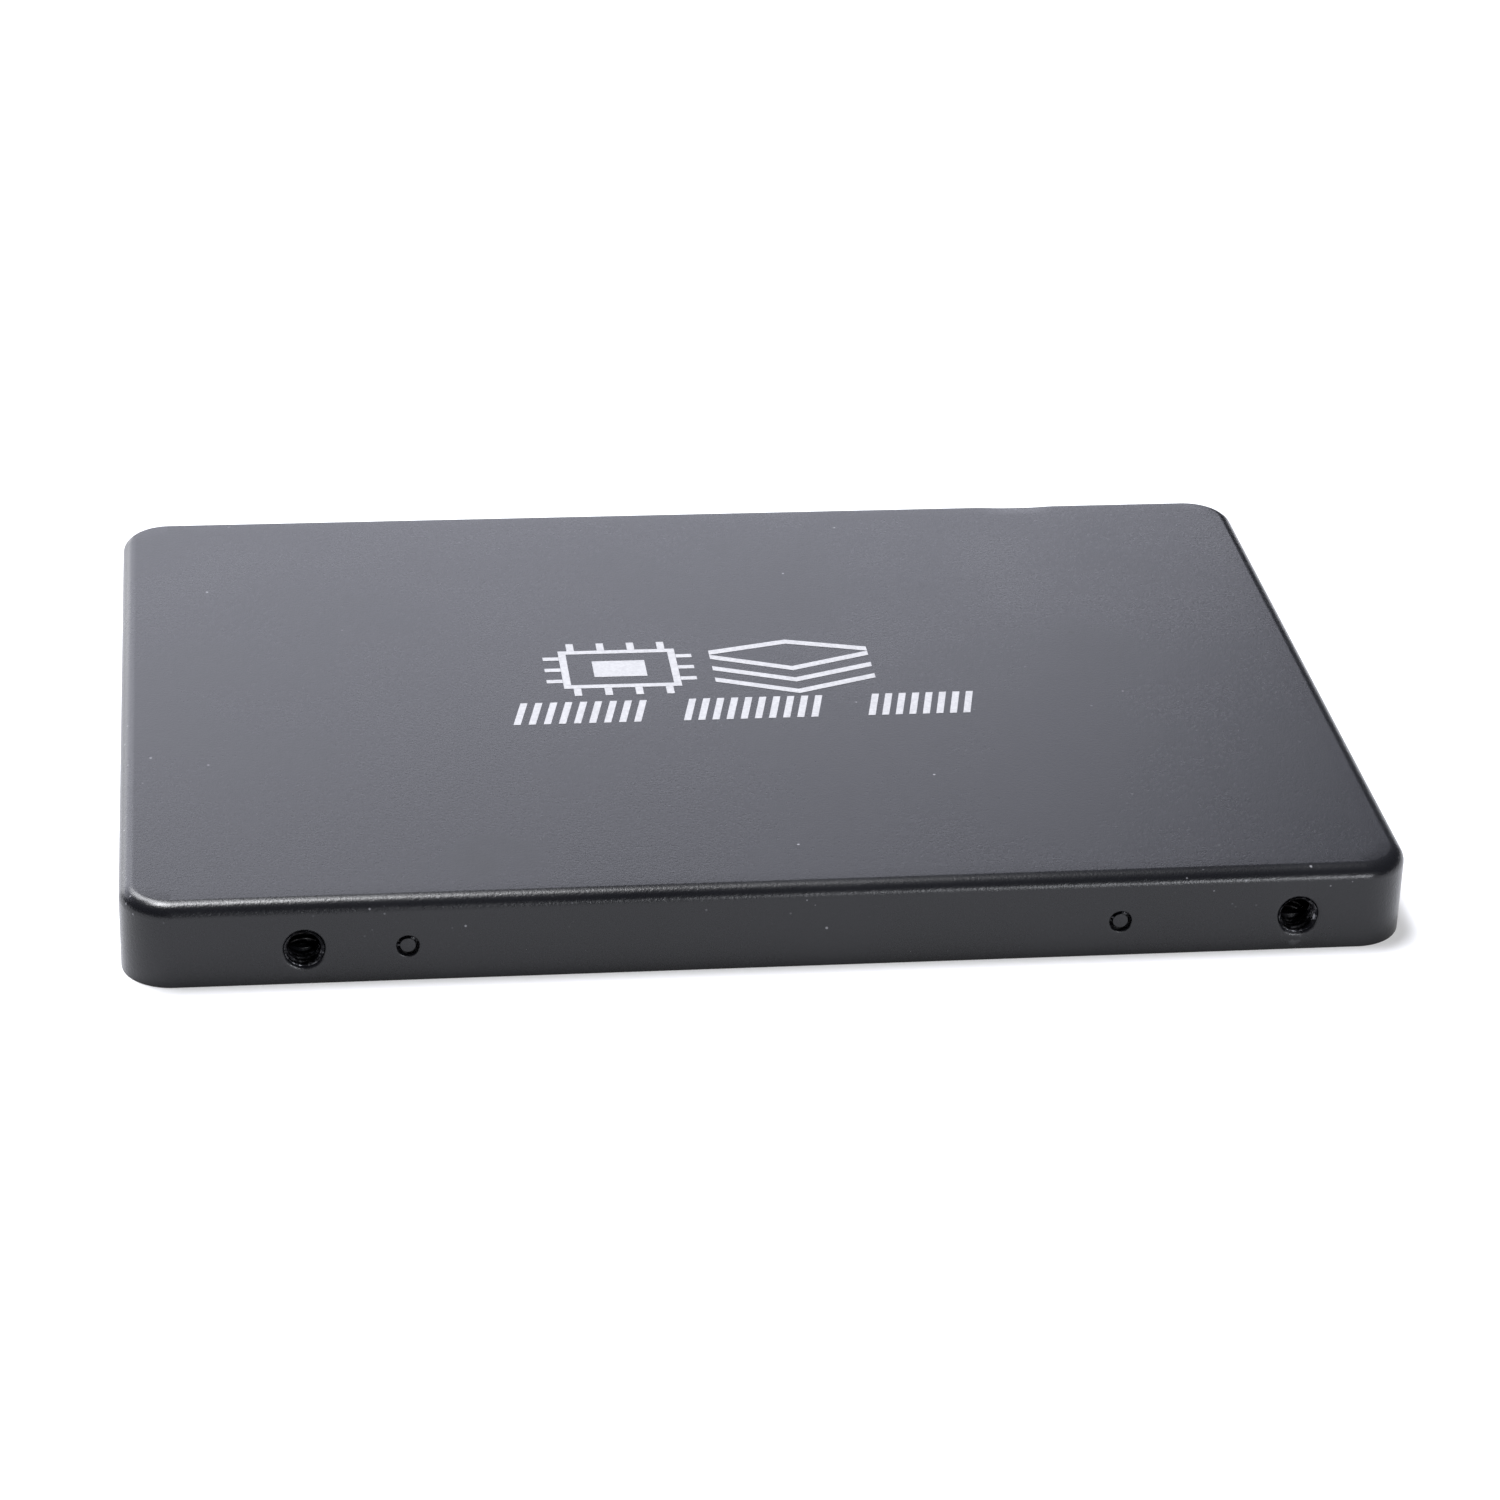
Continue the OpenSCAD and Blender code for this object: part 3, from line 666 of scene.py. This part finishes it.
def web_rings(bm, x, side, start, width):
    """Four-sided rings along one arc of coat, which thins towards its ends. Angles are in degrees."""
    rings = []
    for i in range(WEB_STEPS + 1):
        a = math.radians(start + width * i / WEB_STEPS)
        taper = math.sin(math.pi * i / WEB_STEPS) ** 0.5
        top = WEB_TOP + (1 - taper) * WEB_SAG
        corners = ((WEB_INNER, top), (WEB_OUTER, top), (WEB_OUTER, WEB_BOTTOM), (WEB_INNER, WEB_BOTTOM))
        rings.append([
            bm.verts.new((x + r * math.cos(a), side * (HALF_WIDTH - depth), hole_z + r * math.sin(a)))
            for r, depth in corners
        ])
    return rings


def build_pin_webs(material):
    """Short arcs of coat left in the ring gap of each pin, so the gap looks broken."""
    dice = random.Random(11)
    bm = bmesh.new()
    for x in pin_xs:
        for side in (-1, 1):
            start = dice.uniform(20, 60)
            for turn, width in ((0, dice.uniform(26, 44)), (dice.uniform(95, 130), dice.uniform(14, 26))):
                rings = web_rings(bm, x, side, start + turn, width)
                for first, second in zip(rings, rings[1:]):
                    ring_faces(bm, first, second)
                bm.faces.new(rings[0])
                bm.faces.new(rings[-1][::-1])
    bmesh.ops.recalc_face_normals(bm, faces=bm.faces)
    add_piece("pin_paint_webs", mesh_from(bm, "pin_paint_webs"), material, "case_black")


# ---- printed graphics ----

INK = 0.02 * MM

# The rest of this section is in millimetres. The gap keeps neighbouring shapes from sharing an edge.
GAP = 0.02
CHIP_SIGN = {"cx": -8.55, "cy": 3.15, "width": 12.5, "height": 9.7}
LAYERS_SIGN = {"cx": 5.9, "cy": 2.95, "width": 13.4, "height": 9.7}
BAR_RUNS = ((-18.1, -6.85), (-4.2, 7.7), (11.0, 20.3))
BAR_FOOT = -6.65
BAR_HEAD = -2.8
BAR_PITCH = 1.12


def flat_prints(name, shapes, z, facing, material, slot):
    """Thin printed shapes. Each shape is a list of (x, y) points, in order around it; z is in metres."""
    bm = bmesh.new()
    for shape in shapes:
        low = [bm.verts.new((x * MM, y * MM, z)) for x, y in shape]
        high = [bm.verts.new((x * MM, y * MM, z + facing * INK)) for x, y in shape]
        bm.faces.new(low)
        bm.faces.new(high)
        ring_faces(bm, low, high)
    bmesh.ops.recalc_face_normals(bm, faces=bm.faces)
    mesh = mesh_from(bm, name)
    add_piece(name, mesh, material, slot)
    mesh.shade_flat()


def bar(x0, y0, x1, y1):
    """An upright rectangle."""
    return [(x0, y0), (x1, y0), (x1, y1), (x0, y1)]


def border(x0, y0, x1, y1, pen):
    """A rectangular frame of four bars."""
    return [
        bar(x0, y1 - pen, x1, y1),
        bar(x0, y0, x1, y0 + pen),
        bar(x0, y0 + pen + GAP, x0 + pen, y1 - pen - GAP),
        bar(x1 - pen, y0 + pen + GAP, x1, y1 - pen - GAP),
    ]


def chevron(cx, y, half, rise, pen):
    """V-shaped stroke of even height, drawn as one outline; a negative rise points it up."""
    return [
        (cx - half, y), (cx, y - rise), (cx + half, y),
        (cx + half, y + pen), (cx, y - rise + pen), (cx - half, y + pen),
    ]


def chip_sign(cx, cy, width, height):
    """Plain pictogram of a chip: a frame, a solid core and short pins."""
    pen = 0.62
    pin = 1.35
    half_x = width / 2 - pin
    half_y = height / 2 - pin
    shapes = border(cx - half_x, cy - half_y, cx + half_x, cy + half_y, pen)
    shapes.append(bar(cx - half_x * 0.45, cy - half_y * 0.42, cx + half_x * 0.45, cy + half_y * 0.42))
    for i in range(4):
        x = cx + (i - 1.5) * half_x * 0.52
        shapes.append(bar(x - pen / 2, cy + half_y + GAP, x + pen / 2, cy + half_y + pin))
        shapes.append(bar(x - pen / 2, cy - half_y - pin, x + pen / 2, cy - half_y - GAP))
    for i in range(3):
        y = cy + (i - 1) * half_y * 0.6
        shapes.append(bar(cx + half_x + GAP, y - pen / 2, cx + half_x + pin, y + pen / 2))
        shapes.append(bar(cx - half_x - pin, y - pen / 2, cx - half_x - GAP, y + pen / 2))
    return shapes


def layers_sign(cx, cy, width, height):
    """Plain pictogram of three stacked sheets: a lozenge over two chevrons."""
    pen = 0.78
    half = width / 2
    rise = height * 0.26
    gap = height * 0.22
    middle = cy + height / 2 - rise
    shapes = [chevron(cx, middle - gap * level - pen, half, rise, pen) for level in range(3)]
    shapes.append(chevron(cx, middle + GAP, half, -rise + pen, pen))
    return shapes


def slant_bars(x0, x1, y0, y1, pitch):
    """A run of slanted bars between two X places."""
    lean = (y1 - y0) * 0.22
    width = pitch * 0.52
    count = int((x1 - x0 - lean - width) / pitch) + 1
    step = (x1 - x0 - lean - width) / (count - 1)
    return [
        [(x0 + i * step, y0), (x0 + i * step + width, y0),
         (x0 + i * step + width + lean, y1), (x0 + i * step + lean, y1)]
        for i in range(count)
    ]


def print_top(material):
    """Two pictograms over three runs of slanted bars, in the middle of the top cover."""
    flat_prints("print_chip_sign", chip_sign(**CHIP_SIGN), TOP, 1, material, "label_paper")
    flat_prints("print_layers_sign", layers_sign(**LAYERS_SIGN), TOP, 1, material, "label_paper")
    bars = []
    for x0, x1 in BAR_RUNS:
        bars += slant_bars(x0, x1, BAR_FOOT, BAR_HEAD, BAR_PITCH)
    flat_prints("print_bar_line", bars, TOP, 1, material, "label_paper")


LABEL_EDGE = 1.2
LABEL_PEN = 0.25
LABEL_MARGIN = 4
CELL_CHANCE = 0.48
CELL_FILL = 0.94
ROW_PITCH = 2.7
ROW_HEIGHT = 0.8
DASH_GAP = 2


def random_bars(dice, x, end, foot, head):
    """Bars of random widths and gaps, from x to about end."""
    shapes = []
    while x < end:
        width = dice.choice((0.25, 0.25, 0.5, 0.75))
        shapes.append(bar(x, foot, x + width, head))
        x += width + dice.choice((0.25, 0.5, 0.75))
    return shapes


def random_cells(dice, x, y, count, cell):
    """A square field of cells, filled at random but for two full sides."""
    shapes = []
    for i in range(count):
        for j in range(count):
            if i == 0 or j == 0 or dice.random() < CELL_CHANCE:
                shapes.append(bar(
                    x + i * cell, y + j * cell, x + (i + CELL_FILL) * cell, y + (j + CELL_FILL) * cell))
    return shapes


def ruled_rows(dice, start, end, y, count):
    """Rows of long dashes of random lengths, from y down."""
    shapes = []
    for row in range(count):
        foot = y - row * ROW_PITCH
        x = start
        for _ in range(3):
            width = dice.uniform(7, 17)
            shapes.append(bar(x, foot, min(x + width, end), foot + ROW_HEIGHT))
            x += width + DASH_GAP
            if x > end - 6:
                break
    return shapes


def print_label(material):
    """Plain marks on the bottom label: a frame, random bars, random cells and ruled rows."""
    dice = random.Random(5)
    lx = label_high.x / MM
    ly = label_high.y / MM
    left = -lx + LABEL_MARGIN
    bottom = -ly + LABEL_MARGIN
    shapes = border(-lx + LABEL_EDGE, -ly + LABEL_EDGE, lx - LABEL_EDGE, ly - LABEL_EDGE, LABEL_PEN)
    shapes += random_bars(dice, left, end=8, foot=bottom, head=bottom + 8)
    shapes += random_cells(dice, x=lx - 17, y=bottom, count=16, cell=0.7)
    shapes += ruled_rows(dice, start=left, end=lx - 6, y=ly - 6, count=6)
    flat_prints("print_label_marks", shapes, label_low.z, -1, material, "label_paper")


# ---- stage ----

FLOOR_REACH = 3.0


def make_floor():
    """Pale seamless floor that glows a little, large enough to fill every view."""
    mesh = bpy.data.meshes.new("floor")
    reach = FLOOR_REACH
    mesh.from_pydata(
        [(-reach, -reach, 0), (reach, -reach, 0), (reach, reach, 0), (-reach, reach, 0)], [], [(0, 1, 2, 3)]
    )
    floor = bpy.data.objects.new("floor", mesh)
    bpy.context.scene.collection.objects.link(floor)
    m = Nodes("floor_white")
    m.set(Base_Color=(0.48, 0.485, 0.51, 1), Roughness=0.9, Specular_IOR_Level=0.1)
    m.set(Emission_Color=(1, 1, 1, 1), Emission_Strength=0.46)
    mesh.materials.append(m.material)


def area_light(name, place, aim, size, power, color):
    """Rectangular soft light; place, aim and size are in metres, power in watts."""
    data = bpy.data.lights.new(name, "AREA")
    data.shape = "RECTANGLE"
    data.size, data.size_y = size
    data.energy = power
    data.color = color
    light = bpy.data.objects.new(name, data)
    light.location = place
    light.rotation_euler = (Vector(aim) - Vector(place)).to_track_quat("-Z", "Y").to_euler()
    bpy.context.scene.collection.objects.link(light)


def make_lights():
    """A wide panel and a low strip behind, two softboxes up on the left and one low at the front right."""
    area_light("back_panel", (-0.5, 1.25, 0.575), (0, 0, 0.02), (2.2, 0.6), 12.9, (0.86, 0.875, 1))
    area_light("back_low", (-0.72, 1.12, 0.15), (0, 0, 0), (0.8, 0.26), 2.6, (0.95, 0.96, 1))
    area_light("left_high", (-0.27, 0.46, 0.76), (0, 0, 0), (0.36, 0.6), 11, (0.95, 0.96, 1))
    area_light("overhead", (-0.22, 0.13, 1.08), (0, 0, 0), (0.38, 0.36), 22, (0.97, 0.975, 1))
    area_light("front_right", (0.5, -1.35, 0.3), (0, 0, 0), (0.42, 0.28), 9.5, (0.93, 0.95, 1))
    world = bpy.data.worlds.new("studio")
    world.use_nodes = True
    world.node_tree.nodes["Background"].inputs["Color"].default_value = (0.92, 0.94, 1, 1)
    world.node_tree.nodes["Background"].inputs["Strength"].default_value = 0.04
    bpy.context.scene.world = world


# ---- finishes of the carried-over CAD nodes ----

def finish_node(name, material):
    """Gives a carried-over CAD node its material."""
    mesh = nodes[name].data
    for i in range(len(mesh.materials)):
        mesh.materials[i] = material
    if not mesh.materials:
        mesh.materials.append(material)


paint = case_paint()
mask = board_mask()

# Colour, roughness, metallic, grain in features per metre, depth of the grain in mm, and wear
gold = plain("contact_gold", (0.86, 0.6, 0.22), 0.28, 1.0, 6000, 0.004, 0.06)
tin = plain("tinned_metal", (0.6, 0.6, 0.62), 0.35, 1.0, 6000, 0.006)
housing_plastic = plain("connector_plastic", (0.014, 0.014, 0.015), 0.45, 0.0, 5000, 0.008)
chip_epoxy = plain("chip_epoxy", (0.02, 0.02, 0.021), 0.6, 0.0, 7000, 0.01)
label_paper = plain("label_paper", (0.66, 0.67, 0.69), 0.5, 0.0, 4000, 0.004, 0.04)
pad_rubber = plain("thermal_pad", (0.22, 0.36, 0.46), 0.75, 0.0, 2500, 0.02)
cream = plain("ceramic_cream", (0.6, 0.55, 0.42), 0.55)
ferrite = plain("ferrite_grey", (0.06, 0.06, 0.063), 0.65, 0.0, 5000, 0.015)
amber_film = plain("film_amber", (0.5, 0.3, 0.06), 0.25, 0.0, 900, 0.01)
brass = plain("standoff_brass", (0.6, 0.44, 0.18), 0.33, 1.0, 5000, 0.006)
steel = plain("screw_steel", (0.5, 0.5, 0.52), 0.32, 1.0, 5000, 0.006)
tantalum = plain("tantalum_yellow", (0.62, 0.36, 0.06), 0.5)
tan = plain("ceramic_tan", (0.36, 0.22, 0.11), 0.5, 0.0, 6000, 0.01)
resistor_black = plain("resistor_black", (0.02, 0.02, 0.02), 0.35)
lens = plain("led_lens", (0.5, 0.7, 0.5), 0.2)
dark_ink = plain("label_ink", (0.02, 0.02, 0.022), 0.55, 0.0, 5000, 0.003)

FINISHES = {
    "bottom_label": label_paper,
    "insulator_film": amber_film,
    "circuit_board": mask,
    "board_standoffs": brass,
    "board_screws": steel,
    "sata_board_locks": tin,
    "controller_chip": chip_epoxy,
    "controller_thermal_pad": pad_rubber,
    "memory_thermal_pads": pad_rubber,
    "cache_chip": chip_epoxy,
    "boot_memory": chip_epoxy,
    "boot_memory_leads": tin,
    "clock_crystal": cream,
    "crystal_lid": tin,
    "power_inductors": ferrite,
    "inductor_terminals": tin,
    "voltage_regulators": chip_epoxy,
    "regulator_leads": tin,
    "input_fuse": cream,
    "surge_suppressor": chip_epoxy,
    "tantalum_capacitors": tantalum,
    "ceramic_capacitors": tan,
    "capacitor_terminals": tin,
    "chip_resistors": resistor_black,
    "resistor_terminals": tin,
    "activity_led": lens,
    **{f"memory_chip_{i}": chip_epoxy for i in range(1, 5)},
}

# ---- the object and its stage ----

make_camera()
bpy.context.scene.view_settings.view_transform = "Standard"

for node_name, finish in FINISHES.items():
    finish_node(node_name, finish)

build_top_cover(paint)
softened("bottom_cover", "bottom_cover_plate", 0.07 * MM, paint, "case_black")
softened("sata_housing", "plug_housing", 0.08 * MM, housing_plastic, "connector_black")
softened("sata_signal_contacts", "signal_contacts", 0.04 * MM, gold, "contact_gold")
softened("sata_power_contacts", "power_contacts", 0.04 * MM, gold, "contact_gold")
build_threads(thread_metal())
build_pin_webs(paint)
print_top(print_ink())
print_label(dark_ink)

make_floor()
make_lights()
